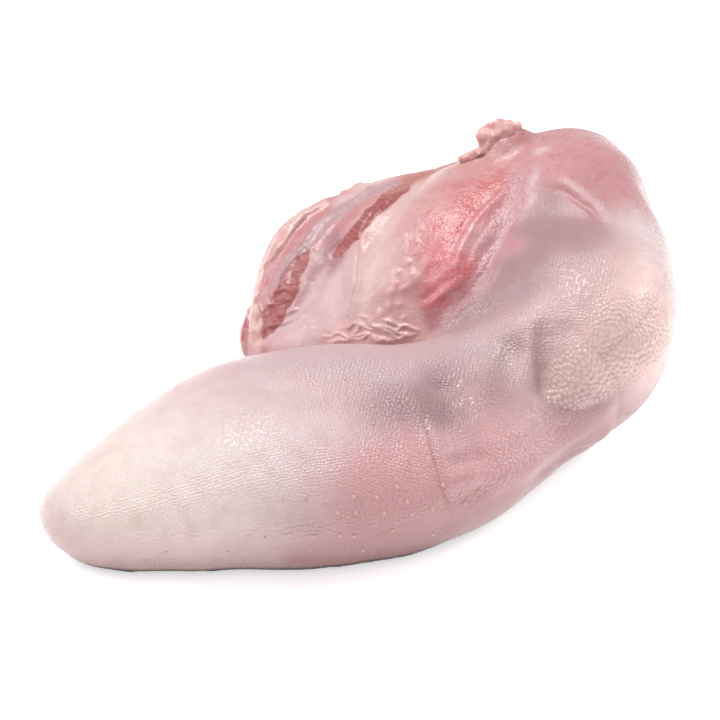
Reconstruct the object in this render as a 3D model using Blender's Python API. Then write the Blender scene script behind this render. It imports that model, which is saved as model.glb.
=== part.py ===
"""Whole raw beef tongue, lying curled on a flat surface.

The tip arm lies at the front with the back of the tongue up. It bends round at the right into the
swollen torus, and the root half lies on its side behind it, with its gland, muscle and fat facing
left. The body is one solid: five tapering limbs run together as a smooth field of distance, which
is pressed flat where it lies, cut off at the root, given its folds, and meshed.

The frame has X to the right along the tip arm, Y to the back and Z up, with the origin on the
surface it lies on, under the middle of its box.
"""

import bmesh
import bpy
import numpy as np
import openvdb

MM = 0.001

# Driving dimensions, in millimetres.
TRIANGLES = 11400           # of the finished body
CELL = 2.8                  # side of a meshing cell
BOX_LOW = (-128, -98, -6)   # the space that is meshed, as drawn
BOX_HIGH = (138, 118, 120)
CENTRE_SHIFT = (-4.0, -8.2, 0)   # brings the middle of the drawn body over the origin

# Each limb is a row of stations: x, y, z of its core, half width, height above the core, depth
# below it, and the roll in degrees that lifts its far side.
TIP_ARM = [
    (-121, -63.5, 16.5, 24, 17.5, 16.5, 2),
    (-108, -65, 18.5, 26, 16, 18, 4),
    (-92, -61.5, 20.5, 28.5, 17, 20, 6),
    (-72, -55, 23.5, 36.5, 22, 23.5, 12),
    (-45, -48, 29, 43.5, 26, 29, 17),
    (-10, -42.5, 31.5, 46, 25, 31.5, 18),
    (25, -32.5, 31.5, 43.5, 24, 31.5, 14),
    (53, -12.5, 34, 35.5, 24, 34, 12),
    (72, 6, 41, 31.5, 30, 41, 12),
    (84, 32, 52, 30, 37, 48, 6),
]
TORUS = [
    (78, -5, 45, 25, 27, 34, 8),
    (90.5, 10, 53, 34, 34.5, 42, 6),
    (93.5, 34, 58, 36, 41, 54, 0),
    (92.5, 64, 60, 35.5, 47.5, 60, -6),
    (88.5, 88, 60, 36, 47.5, 60, -8),
]
ROOT_MUSCLE = [
    (50, 16, 34, 22, 22, 34, -4),
    (50, 40, 44, 32, 36, 44, -8),
    (52, 70, 50, 38, 44, 50, -10),
    (54, 90, 50, 34, 42, 50, -10),
]
GLAND = [
    (16, 22, 24, 18, 16, 24, -8),
    (18, 44, 35, 25, 31, 35, -14),
    (22, 70, 41.5, 29, 39, 41, -18),
    (23, 96, 42, 30, 40, 41, -20),
]
LOWER_FLAP = [
    (-4, 28, 21, 17, 13, 21, -18),
    (-12, 48, 27.5, 29.5, 20, 27.5, -22),
    (-13, 76, 34, 34, 29.5, 34, -27),
    (-7, 104, 36.5, 33.5, 34, 36, -29),
]

SQUARENESS = 2.2            # exponent of each limb's section, 2 being an ellipse
TIP_ROUNDING = 36           # length over which the tip rounds off
TIP_DOME = 0.8              # how far a limb's end domes beyond its last station
LIMB_DOME = 17
BLEND_SIDE = 14             # width of the smooth join between limbs
BLEND_BACK = 20
BLEND_CREASE = 5            # between the tip arm and the root, where they only touch,
BLEND_BEND = 18             # and at the bend, where they are one
BEND_FROM = 25              # the bend begins at this X
BEND_TO = 75
REST_PRESS = 6              # how far the soft underside is pressed flat
REST_ROUNDING = 4           # where the underside turns up from the surface
SETTLED = 0.25              # lower than this lies on the surface
CUT_DISTANCE = 103          # the plane that the root is cut off at
CUT_ROUNDING = 6

# Lumps and hollows: x, y, z, radius, height.
LUMPS = [
    (84, 29, 93, 26, -4.5),     # hollow in the side of the root
    (101, -15, 68, 27, 5),      # swelling of the torus
    (60, 84, 104, 7.5, 9),      # ragged tissue on the top
    (68, 85, 107, 5, 4),
    (43, 83, 100, 4.5, 3.5),
    (16, 47, 66, 12, 2.5),      # nodules of the gland
    (20, 33, 58, 8, 2),
    (28, 52, 80, 11, 1.5),
    (-44, 52, 22, 12, 8),       # corner of tissue behind the tip arm
    (121, 57, 82, 12, -3),      # flattening of the root's right side
    (115, 80, 98, 14, 1.5),     # fullness at its upper end
]

# Bundles of cut muscle that stand out of the cut end, and the fat between them: x, z, radius,
# height.
CUT_END = [
    (100, 66, 15, 3),
    (76, 84, 13, 2.5),
    (74, 50, 16, 3.5),
    (98, 34, 13, 2.5),
    (52, 72, 12, -3),
    (46, 40, 15, 3),
    (68, 22, 14, -3),
    (22, 56, 12, 2.5),
    (14, 26, 13, -2.5),
    (-14, 38, 14, 3),
]

# Furrows (height below zero) and ridges: points along the line, half width, height.
MEDIAN_GROOVE = ([(91, -27, 61), (98, -24, 66), (106, -18, 72), (116, -5, 76)], 5, -1.5)
FOSSA = ([(74, -16, 73), (73, -22, 67), (73, -27, 60), (73, -30, 52), (75, -34, 46)], 8, -5)
FOSSA_RIM = ([(65, -16, 67), (64, -23, 59), (65, -33, 49)], 5, 1.5)
FRONT_DENT = ([(31, -31, 56), (32, -40, 54), (35, -48, 50)], 7, -2.5)
VALLEY = ([(44, 4, 60), (55, 4, 69), (67, 1, 76), (79, -3, 81)], 9, -2)
RED_GROOVE = ([(32, 14, 55), (42, 16, 65), (52, 24, 77), (60, 38, 86)], 7, -2.5)
MUSCLE_STRIP = ([(30, 89, 86), (17, 72, 82), (10, 57, 74), (0, 48, 65)], 5.5, -3)
SIDE_STRIP = ([(-15, 59, 58), (-21, 50, 48), (-29, 43, 39), (-39, 43, 32)], 5, -3)
FAT_RIDGE = ([(-15, 95, 69), (-33, 85, 60), (-43, 64, 45), (-46, 46, 28)], 3.5, 2.5)
LINES = [MEDIAN_GROOVE, FOSSA, FOSSA_RIM, FRONT_DENT, VALLEY, RED_GROOVE,
         MUSCLE_STRIP, SIDE_STRIP, FAT_RIDGE]
FADE = 0.2                  # share of a line's length over which its ends fade out
FAINT_END = 0.35            # height left at its very end


def smooth_union(first, second, width):
    """The lesser of two distances, rounded where they meet over the width."""
    share = np.clip(0.5 + 0.5 * (second - first) / width, 0, 1)
    return second * (1 - share) + first * share - width * share * (1 - share)


def smooth_cut(first, second, width):
    """The greater of two distances, rounded in the same way."""
    return -smooth_union(-first, -second, width)


def spline(rows, count):
    """A Catmull-Rom curve through the rows, evenly spaced in row number."""
    rows = np.array(rows, float)
    steps = np.linspace(0, len(rows) - 1, count)
    at = np.clip(steps.astype(int), 0, len(rows) - 2)
    t = (steps - at)[:, None]
    ends = np.vstack([2 * rows[0] - rows[1], rows, 2 * rows[-1] - rows[-2]])
    a, b, c, d = ends[at], ends[at + 1], ends[at + 2], ends[at + 3]
    slope = c - a
    bend = 2 * a - 5 * b + 4 * c - d
    twist = 3 * b - a - 3 * c + d
    return b + 0.5 * (slope * t + bend * t**2 + twist * t**3)


def mixed(values, low, share):
    """Values between two neighbouring samples."""
    return values[low] * (1 - share) + values[low + 1] * share


class Limb:
    """A tapering limb along a curve, whose section is a rounded, rolled superellipse."""

    SAMPLES = 90

    def __init__(self, stations, first_dome=LIMB_DOME, rounding=0):
        rows = spline(stations, self.SAMPLES)
        self.core = rows[:, :3]
        self.radii = np.maximum(rows[:, 3:6], 0.5) + (0, 0, REST_PRESS)
        forward = np.gradient(self.core, axis=0)
        self.spacing = np.linalg.norm(forward, axis=1)
        self.forward = forward / self.spacing[:, None]
        level = np.cross(self.forward, (0, 0, 1))
        level /= np.linalg.norm(level, axis=1)[:, None]
        upright = np.cross(level, self.forward)
        roll = np.radians(rows[:, 6])[:, None]
        self.side = level * np.cos(roll) - upright * np.sin(roll)
        self.up = upright * np.cos(roll) + level * np.sin(roll)
        self.dome = np.linspace(first_dome, LIMB_DOME, self.SAMPLES)[:, None]
        if rounding:
            self.round_off(rounding)

    def round_off(self, length):
        """Shrinks the sections near the first station like the end of an ellipse."""
        run = np.concatenate([[0.2], 0.2 + np.cumsum(self.spacing[1:])])
        left = 1 - np.clip(run / length, 0, 1)
        self.radii = self.radii * ((1 - left**1.9) ** (1 / 1.9))[:, None]

    def distance(self, points):
        """About how far each point lies outside the limb (below zero inside)."""
        apart = ((points[:, None, :] - self.core[None]) ** 2).sum(2)
        nearest = apart.argmin(1)
        place = nearest.astype(float)
        for _ in range(4):
            low = np.minimum(place.astype(int), self.SAMPLES - 2)
            share = (place - low)[:, None]
            core, forward = (mixed(values, low, share) for values in (self.core, self.forward))
            ahead = ((points - core) * forward).sum(1) / self.spacing[low]
            place = np.clip(place + np.clip(ahead, -1, 1), 0, self.SAMPLES - 1)
        low = np.minimum(place.astype(int), self.SAMPLES - 2)
        share = (place - low)[:, None]

        def between(values):
            return mixed(values, low, share)

        offset = points - between(self.core)
        radii = between(self.radii)
        across = (offset * between(self.side)).sum(1)
        along = (offset * between(self.forward)).sum(1)
        above = (offset * between(self.up)).sum(1)
        height = np.where(above > 0, radii[:, 1], radii[:, 2])
        power = SQUARENESS
        ratio = (np.abs(across / radii[:, 0]) ** power + np.abs(above / height) ** power
                 + np.abs(along / between(self.dome)[:, 0]) ** power) ** (1 / power)
        size = np.linalg.norm(offset, axis=1)
        return size * (1 - 1 / np.maximum(ratio, 1e-6))


LIMBS = {
    "tip": Limb(TIP_ARM, TIP_DOME, TIP_ROUNDING),
    "torus": Limb(TORUS),
    "muscle": Limb(ROOT_MUSCLE),
    "gland": Limb(GLAND),
    "flap": Limb(LOWER_FLAP),
}


def line_distance(points, line):
    """Distance to a line of straight pieces, and how far along it, from 0 to 1."""
    line = np.array(line, float)
    nearest = np.full(len(points), np.inf)
    run = np.zeros(len(points))
    for index in range(len(line) - 1):
        start = line[index]
        piece = line[index + 1] - start
        t = np.clip(((points - start) @ piece) / (piece @ piece), 0, 1)
        apart = np.linalg.norm(points - start - t[:, None] * piece, axis=1)
        closer = apart < nearest
        nearest[closer] = apart[closer]
        run[closer] = (index + t[closer]) / (len(line) - 1)
    return nearest, run


def relief(points):
    """How far the lumps, furrows and ridges raise the surface at each point."""
    height = np.zeros(len(points))
    for x, y, z, radius, rise in LUMPS:
        apart = np.linalg.norm(points - (x, y, z), axis=1)
        height += rise * np.exp(-((apart / radius) ** 2))
    for line, half_width, rise in LINES:
        apart, run = line_distance(points, line)
        ends = np.clip(np.minimum(run, 1 - run) / FADE, 0, 1)
        height += rise * np.exp(-((apart / half_width) ** 2)) * (FAINT_END + (1 - FAINT_END) * ends)
    return height


def cut_plane(points):
    """Distance beyond the cut at the root, whose face has bundles and hollows."""
    face = np.full(len(points), float(CUT_DISTANCE))
    for x, z, radius, rise in CUT_END:
        apart = np.hypot(points[:, 0] - x, points[:, 2] - z)
        face += rise * np.exp(-((apart / radius) ** 2))
    return points[:, 1] - face


def body(points):
    """The whole tongue as a distance, below zero inside."""
    tip, torus, muscle, gland, flap = (limb.distance(points) for limb in LIMBS.values())
    side = smooth_union(smooth_union(muscle, gland, BLEND_SIDE), flap, BLEND_SIDE)
    back = smooth_union(torus, side, BLEND_BACK)
    back = smooth_cut(back, cut_plane(points), CUT_ROUNDING)
    bend = np.clip((points[:, 0] - BEND_FROM) / (BEND_TO - BEND_FROM), 0, 1)
    blend = BLEND_CREASE + (BLEND_BEND - BLEND_CREASE) * bend
    whole = smooth_union(tip, back, blend) - relief(points)
    return smooth_cut(whole, -points[:, 2], REST_ROUNDING)


def meshed_body():
    """Vertices in millimetres, and faces, where the body's distance is zero."""
    low = np.array(BOX_LOW, float)
    counts = np.ceil((np.array(BOX_HIGH) - low) / CELL).astype(int) + 1
    axes = [low[k] + CELL * np.arange(counts[k]) for k in range(3)]
    layers = []
    for x in axes[0]:
        layer = np.stack(np.meshgrid([x], axes[1], axes[2], indexing="ij"), -1)
        layers.append(body(layer.reshape(-1, 3)).reshape(counts[1:]))
    volume = openvdb.FloatGrid(10.0)
    volume.copyFromArray(np.array(layers, np.float32))
    vertices, triangles, quads = volume.convertToPolygons(0.0, 0.0)
    vertices = vertices * CELL + low + np.array(CENTRE_SHIFT)
    faces = [tuple(reversed(face)) for face in triangles.tolist() + quads.tolist()]
    return vertices, faces


def tongue_mesh():
    """The body as one closed mesh in metres, with fine even faces."""
    vertices, faces = meshed_body()
    mesh = bpy.data.meshes.new("tongue_fine")
    mesh.from_pydata((vertices * MM).tolist(), [], faces)
    solid = bmesh.new()
    solid.from_mesh(mesh)
    bmesh.ops.triangulate(solid, faces=solid.faces)
    bmesh.ops.recalc_face_normals(solid, faces=solid.faces)
    solid.to_mesh(mesh)
    solid.free()
    return mesh


def with_fewer_faces(tongue):
    """Replaces the fine mesh by one of TRIANGLES faces, flat where it lies on the surface."""
    fine = tongue.data
    fewer = tongue.modifiers.new("fewer_faces", "DECIMATE")
    fewer.ratio = min(1.0, TRIANGLES / len(fine.polygons))
    fewer.use_collapse_triangulate = True
    graph = bpy.context.evaluated_depsgraph_get()
    tongue.data = bpy.data.meshes.new_from_object(tongue.evaluated_get(graph))
    tongue.modifiers.remove(fewer)
    bpy.data.meshes.remove(fine)
    for vertex in tongue.data.vertices:
        if vertex.co.z < SETTLED * MM:
            vertex.co.z = 0
    tongue.data.shade_smooth()


def flesh_material():
    """Pale, moist, grey-pink skin."""
    material = bpy.data.materials.new("tongue_skin")
    material.use_nodes = True
    shader = material.node_tree.nodes["Principled BSDF"]
    shader.inputs["Base Color"].default_value = (0.66, 0.44, 0.44, 1)
    shader.inputs["Roughness"].default_value = 0.42
    shader.inputs["Metallic"].default_value = 0
    material.diffuse_color = (0.66, 0.44, 0.44, 1)
    return material


def main():
    for leftover in list(bpy.data.objects):
        bpy.data.objects.remove(leftover, do_unlink=True)
    collection = bpy.data.collections.new("beef_tongue")
    bpy.context.scene.collection.children.link(collection)
    mesh = tongue_mesh()
    mesh.materials.append(flesh_material())
    tongue = bpy.data.objects.new("tongue", mesh)
    collection.objects.link(tongue)
    with_fewer_faces(tongue)


main()
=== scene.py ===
"""Looks of a whole raw beef tongue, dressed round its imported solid.

The fine skin is meshed from the same named form as the solid, then given its creases, folds,
papillae and fibres. Places seen in the photo are named by their pixels, and are carried onto the
body along the camera's rays. Lengths are millimetres, as drawn, until a mesh is made.
"""

import math

import bmesh
import bpy
import numpy as np
import openvdb
from mathutils import Matrix, Quaternion, Vector
from mathutils.bvhtree import BVHTree
from mathutils.kdtree import KDTree


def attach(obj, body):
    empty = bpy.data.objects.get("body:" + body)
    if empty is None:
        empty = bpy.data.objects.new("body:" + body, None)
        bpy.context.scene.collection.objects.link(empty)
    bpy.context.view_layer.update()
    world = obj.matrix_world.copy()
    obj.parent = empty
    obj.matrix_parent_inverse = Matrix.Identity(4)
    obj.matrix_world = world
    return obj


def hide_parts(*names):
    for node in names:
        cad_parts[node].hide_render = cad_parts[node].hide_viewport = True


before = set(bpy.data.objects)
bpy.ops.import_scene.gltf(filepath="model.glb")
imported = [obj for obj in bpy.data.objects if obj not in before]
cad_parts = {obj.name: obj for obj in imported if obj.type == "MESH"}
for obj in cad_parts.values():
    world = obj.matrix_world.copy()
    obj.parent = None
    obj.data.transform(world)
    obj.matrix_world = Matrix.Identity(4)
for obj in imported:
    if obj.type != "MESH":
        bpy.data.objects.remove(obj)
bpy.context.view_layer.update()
MM = 0.001
SEED = 7

# ---------------------------------------------------------------- the form, as the solid's source
CELL = 2.95
BOX_LOW = (-128, -98, -6)
BOX_HIGH = (138, 118, 120)
CENTRE_SHIFT = np.array((-4.0, -8.2, 0))    # puts the middle of the tongue over the origin

# Stations: x, y, z of the core, half width, height above it, depth below it, roll in degrees.
TIP_ARM = [
    (-121, -63.5, 16.5, 24, 17.5, 16.5, 2),
    (-108, -65, 18.5, 26, 16, 18, 4),
    (-92, -61.5, 20.5, 28.5, 17, 20, 6),
    (-72, -55, 23.5, 36.5, 22, 23.5, 12),
    (-45, -48, 29, 43.5, 26, 29, 17),
    (-10, -42.5, 31.5, 46, 25, 31.5, 18),
    (25, -32.5, 31.5, 43.5, 24, 31.5, 14),
    (53, -12.5, 34, 35.5, 24, 34, 12),
    (72, 6, 41, 31.5, 30, 41, 12),
    (84, 32, 52, 30, 37, 48, 6),
]
TORUS = [
    (78, -5, 45, 25, 27, 34, 8),
    (90.5, 10, 53, 34, 34.5, 42, 6),
    (93.5, 34, 58, 36, 41, 54, 0),
    (92.5, 64, 60, 35.5, 47.5, 60, -6),
    (88.5, 88, 60, 36, 47.5, 60, -8),
]
ROOT_MUSCLE = [
    (50, 16, 34, 22, 22, 34, -4),
    (50, 40, 44, 32, 36, 44, -8),
    (52, 70, 50, 38, 44, 50, -10),
    (54, 90, 50, 34, 42, 50, -10),
]
GLAND = [
    (16, 22, 24, 18, 16, 24, -8),
    (18, 44, 35, 25, 31, 35, -14),
    (22, 70, 41.5, 29, 39, 41, -18),
    (23, 96, 42, 30, 40, 41, -20),
]
LOWER_FLAP = [
    (-4, 28, 21, 17, 13, 21, -18),
    (-12, 48, 27.5, 29.5, 20, 27.5, -22),
    (-13, 76, 34, 34, 29.5, 34, -27),
    (-7, 104, 36.5, 33.5, 34, 36, -29),
]

SQUARENESS = 2.2
TIP_ROUNDING = 36
TIP_DOME = 0.8
LIMB_DOME = 17
BLEND_SIDE = 14
BLEND_BACK = 20
BLEND_CREASE = 5
BLEND_BEND = 18
BEND_FROM = 25
BEND_TO = 75
REST_PRESS = 6             # how far each limb is drawn below the floor, to be pressed flat there
REST_ROUNDING = 4
CUT_DISTANCE = 103
CUT_ROUNDING = 6

# Lumps and hollows: x, y, z, a reach and a height.
LUMPS = [
    (84, 29, 93, 26, -4.5),
    (101, -15, 68, 27, 5),
    (60, 84, 104, 7.5, 9),
    (68, 85, 107, 5, 4),
    (43, 83, 100, 4.5, 3.5),
    (16, 47, 66, 12, 2.5),
    (20, 33, 58, 8, 2),
    (28, 52, 80, 11, 1.5),
    (-44, 52, 22, 12, 8),
    (121, 57, 82, 12, -3),
    (115, 80, 98, 14, 1.5),
]
# The bundles and hollows of the cut face: x, z, a reach and a height.
CUT_END = [
    (100, 66, 15, 3),
    (76, 84, 13, 2.5),
    (74, 50, 16, 3.5),
    (98, 34, 13, 2.5),
    (52, 72, 12, -3),
    (46, 40, 15, 3),
    (68, 22, 14, -3),
    (22, 56, 12, 2.5),
    (14, 26, 13, -2.5),
    (-14, 38, 14, 3),
]
# Furrows and ridges: the line along them, half width, height.
MEDIAN_GROOVE = ([(91, -27, 61), (98, -24, 66), (106, -18, 72), (116, -5, 76)], 5, -1.5)
FOSSA = ([(74, -16, 73), (73, -22, 67), (73, -27, 60), (73, -30, 52), (75, -34, 46)], 8, -5)
FOSSA_RIM = ([(65, -16, 67), (64, -23, 59), (65, -33, 49)], 5, 1.5)
FRONT_DENT = ([(31, -31, 56), (32, -40, 54), (35, -48, 50)], 7, -2.5)
VALLEY = ([(44, 4, 60), (55, 4, 69), (67, 1, 76), (79, -3, 81)], 9, -2)
RED_GROOVE = ([(32, 14, 55), (42, 16, 65), (52, 24, 77), (60, 38, 86)], 7, -2.5)
MUSCLE_STRIP = ([(30, 89, 86), (17, 72, 82), (10, 57, 74), (0, 48, 65)], 5.5, -3)
SIDE_STRIP = ([(-15, 59, 58), (-21, 50, 48), (-29, 43, 39), (-39, 43, 32)], 5, -3)
FAT_RIDGE = ([(-15, 95, 69), (-33, 85, 60), (-43, 64, 45), (-46, 46, 28)], 3.5, 2.5)
LINES = [MEDIAN_GROOVE, FOSSA, FOSSA_RIM, FRONT_DENT, VALLEY, RED_GROOVE,
         MUSCLE_STRIP, SIDE_STRIP, FAT_RIDGE]
FADE = 0.2                 # the share of a line over which it fades at each end
FAINT_END = 0.35           # how strong it still is at its very end
PLACE_ROUNDS = 4
ROUND_POWER = 1.9
END_RUN = 0.2              # the first section is this far from the very end, so it has a size


def smooth_union(first, second, width):
    """The nearer of two distances, blended where they are closer than this width."""
    share = np.clip(0.5 + 0.5 * (second - first) / width, 0, 1)
    return second * (1 - share) + first * share - width * share * (1 - share)


def smooth_cut(first, second, width):
    """What two shapes have in common, with the edge rounded over this width."""
    return -smooth_union(-first, -second, width)


def spline(rows, count):
    """A Catmull-Rom curve through the rows, evenly spaced in row number."""
    rows = np.array(rows, float)
    steps = np.linspace(0, len(rows) - 1, count)
    at = np.clip(steps.astype(int), 0, len(rows) - 2)
    t = (steps - at)[:, None]
    ends = np.vstack([2 * rows[0] - rows[1], rows, 2 * rows[-1] - rows[-2]])
    a, b, c, d = ends[at], ends[at + 1], ends[at + 2], ends[at + 3]
    slope = c - a
    bend = 2 * a - 5 * b + 4 * c - d
    twist = 3 * b - a - 3 * c + d
    return b + 0.5 * (slope * t + bend * t**2 + twist * t**3)


class Limb:
    """A tapering limb along a curve, whose section is a rounded, rolled superellipse."""

    SAMPLES = 90

    def __init__(self, stations, first_dome=LIMB_DOME, rounding=0):
        rows = spline(stations, self.SAMPLES)
        self.core = rows[:, :3]
        self.radii = np.maximum(rows[:, 3:6], 0.5) + (0, 0, REST_PRESS)
        forward = np.gradient(self.core, axis=0)
        self.spacing = np.linalg.norm(forward, axis=1)
        self.forward = forward / self.spacing[:, None]
        self.bend = np.gradient(self.forward, axis=0) / self.spacing[:, None]
        level = np.cross(self.forward, (0, 0, 1))
        level /= np.linalg.norm(level, axis=1)[:, None]
        upright = np.cross(level, self.forward)
        roll = np.radians(rows[:, 6])[:, None]
        self.side = level * np.cos(roll) - upright * np.sin(roll)
        self.up = upright * np.cos(roll) + level * np.sin(roll)
        self.dome = np.linspace(first_dome, LIMB_DOME, self.SAMPLES)[:, None]
        if rounding:
            self.round_off(rounding)

    def round_off(self, length):
        """Shrinks the sections near the first station like the end of an ellipse."""
        run = END_RUN + np.concatenate([[0], np.cumsum(self.spacing[1:])])
        left = 1 - np.clip(run / length, 0, 1)
        self.radii = self.radii * ((1 - left**ROUND_POWER) ** (1 / ROUND_POWER))[:, None]

    def at(self, place, *rows):
        """Rows of the limb's values, such as its core, at each place along it."""
        low = np.minimum(place.astype(int), self.SAMPLES - 2)
        share = (place - low)[:, None]
        return [values[low] * (1 - share) + values[low + 1] * share for values in rows]

    def nearest(self, points):
        """The place along the limb that is nearest to each point, as a sample's number."""
        apart = ((points[:, None, :] - self.core[None]) ** 2).sum(2)
        place = apart.argmin(1).astype(float)
        for _ in range(PLACE_ROUNDS):
            core, forward, bend = self.at(place, self.core, self.forward, self.bend)
            spacing = self.spacing[np.minimum(place.astype(int), self.SAMPLES - 2)]
            ahead = ((points - core) * forward).sum(1) / spacing
            ahead /= np.maximum(1 - ((points - core) * bend).sum(1), 0.3)
            place = np.clip(place + np.clip(ahead, -1, 1), 0, self.SAMPLES - 1)
        return place

    def distance(self, points):
        """About how far each point lies outside the limb (below zero inside)."""
        core, side, forward, up, radii, dome = self.at(
            self.nearest(points), self.core, self.side, self.forward, self.up, self.radii, self.dome)
        across, along, above = (((points - core) * axis).sum(1) for axis in (side, forward, up))
        height = np.where(above > 0, radii[:, 1], radii[:, 2])
        power = SQUARENESS
        ratio = (np.abs(across / radii[:, 0]) ** power + np.abs(above / height) ** power
                 + np.abs(along / dome[:, 0]) ** power) ** (1 / power)
        size = np.sqrt(across**2 + along**2 + above**2)
        return size * (1 - 1 / np.maximum(ratio, 1e-6))


LIMBS = {
    "tip": Limb(TIP_ARM, TIP_DOME, TIP_ROUNDING),
    "torus": Limb(TORUS),
    "muscle": Limb(ROOT_MUSCLE),
    "gland": Limb(GLAND),
    "flap": Limb(LOWER_FLAP),
}


def line_distance(points, line):
    """Distance to a line of straight pieces, and how far along it, from 0 to 1."""
    line = np.array(line, float)
    nearest = np.full(len(points), np.inf)
    run = np.zeros(len(points))
    for index in range(len(line) - 1):
        start = line[index]
        piece = line[index + 1] - start
        t = np.clip(((points - start) @ piece) / (piece @ piece), 0, 1)
        apart = np.linalg.norm(points - start - t[:, None] * piece, axis=1)
        closer = apart < nearest
        nearest[closer] = apart[closer]
        run[closer] = (index + t[closer]) / (len(line) - 1)
    return nearest, run


def line_relief(points, line, half_width, rise):
    """The height of one furrow or ridge, fading towards its ends."""
    apart, run = line_distance(points, line)
    ends = np.clip(np.minimum(run, 1 - run) / FADE, 0, 1)
    return rise * np.exp(-((apart / half_width) ** 2)) * (FAINT_END + (1 - FAINT_END) * ends)


def relief(points):
    """How far the lumps, furrows and ridges of the form raise the surface at each point."""
    height = np.zeros(len(points))
    for x, y, z, radius, rise in LUMPS:
        apart = np.linalg.norm(points - (x, y, z), axis=1)
        height += rise * np.exp(-((apart / radius) ** 2))
    for line, half_width, rise in LINES:
        height += line_relief(points, line, half_width, rise)
    return height


def cut_plane(points):
    """Distance beyond the cut at the root, whose face has bundles and hollows."""
    face = np.full(len(points), float(CUT_DISTANCE))
    for x, z, radius, rise in CUT_END:
        apart = np.hypot(points[:, 0] - x, points[:, 2] - z)
        face += rise * np.exp(-((apart / radius) ** 2))
    return points[:, 1] - face


def body(points):
    """The whole tongue as a distance, below zero inside."""
    tip, torus, muscle, gland, flap = (limb.distance(points) for limb in LIMBS.values())
    side = smooth_union(smooth_union(muscle, gland, BLEND_SIDE), flap, BLEND_SIDE)
    back = smooth_union(torus, side, BLEND_BACK)
    back = smooth_cut(back, cut_plane(points), CUT_ROUNDING)
    bend = np.clip((points[:, 0] - BEND_FROM) / (BEND_TO - BEND_FROM), 0, 1)
    blend = BLEND_CREASE + (BLEND_BEND - BLEND_CREASE) * bend
    whole = smooth_union(tip, back, blend) - relief(points)
    return smooth_cut(whole, -points[:, 2], REST_ROUNDING)


def in_chunks(function, points, size=20000):
    """The function's values at all points, worked out for some at a time to save memory."""
    return np.concatenate([function(points[i:i + size]) for i in range(0, len(points), size)])


def outward(points, step=0.3):
    """The direction away from the body at each point."""
    here = in_chunks(body, points)
    axes = [in_chunks(body, points + step * np.eye(3)[k]) for k in range(3)]
    gradient = np.stack([there - here for there in axes], 1)
    return gradient / np.maximum(np.linalg.norm(gradient, axis=1), 1e-6)[:, None]


def settle(points, normals, rounds=2, step=0.5):
    """Moves each point along its normal onto the body's surface."""
    here = in_chunks(body, points)
    rise = np.maximum((in_chunks(body, points + step * normals) - here) / step, 0.4)
    for turn in range(rounds):
        if turn:
            here = in_chunks(body, points)
        points = points - normals * np.clip(here / rise, -1.5, 1.5)[:, None]
    return points


# ------------------------------------------------------------------------------------ the camera
PHOTO_SIDE = 720
FOCAL_PX = 1900
CAMERA_DISTANCE = 760
ELEVATION = math.radians(30)
AIM = np.array((0, 0, 45.0))
FORWARD = np.array((0, math.cos(ELEVATION), -math.sin(ELEVATION)))
UPWARD = np.array((0, math.sin(ELEVATION), math.cos(ELEVATION)))
RIGHTWARD = np.array((1.0, 0, 0))
EYE = AIM - CAMERA_DISTANCE * FORWARD
CAST_START = 160.0         # how far before the aim the search along a ray starts
CAST_STEPS = 90


def photo_rays(pixels):
    """The directions of the camera's rays through photo pixels."""
    pixels = (np.array(pixels, float) - PHOTO_SIDE / 2) / FOCAL_PX
    rays = FORWARD + pixels[:, :1] * RIGHTWARD - pixels[:, 1:] * UPWARD
    return rays / np.linalg.norm(rays, axis=1)[:, None]


def cast(pixels):
    """Where the camera's rays through photo pixels meet the body, or pass nearest to it."""
    rays = photo_rays(pixels)
    run = np.full(len(rays), CAMERA_DISTANCE - CAST_START)
    best = np.full(len(rays), np.inf)
    found = EYE + rays * run[:, None]
    for _ in range(CAST_STEPS):
        points = EYE + rays * run[:, None]
        gap = body(points)
        closer = np.abs(gap) < best
        best[closer] = np.abs(gap)[closer]
        found[closer] = points[closer]
        run += np.clip(gap * 0.7, -2, 20)
    return settle(found, outward(found))


def cast_rows(rows):
    """Casts the pixels that rows of numbers start with."""
    return cast([row[:2] for row in rows])


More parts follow.
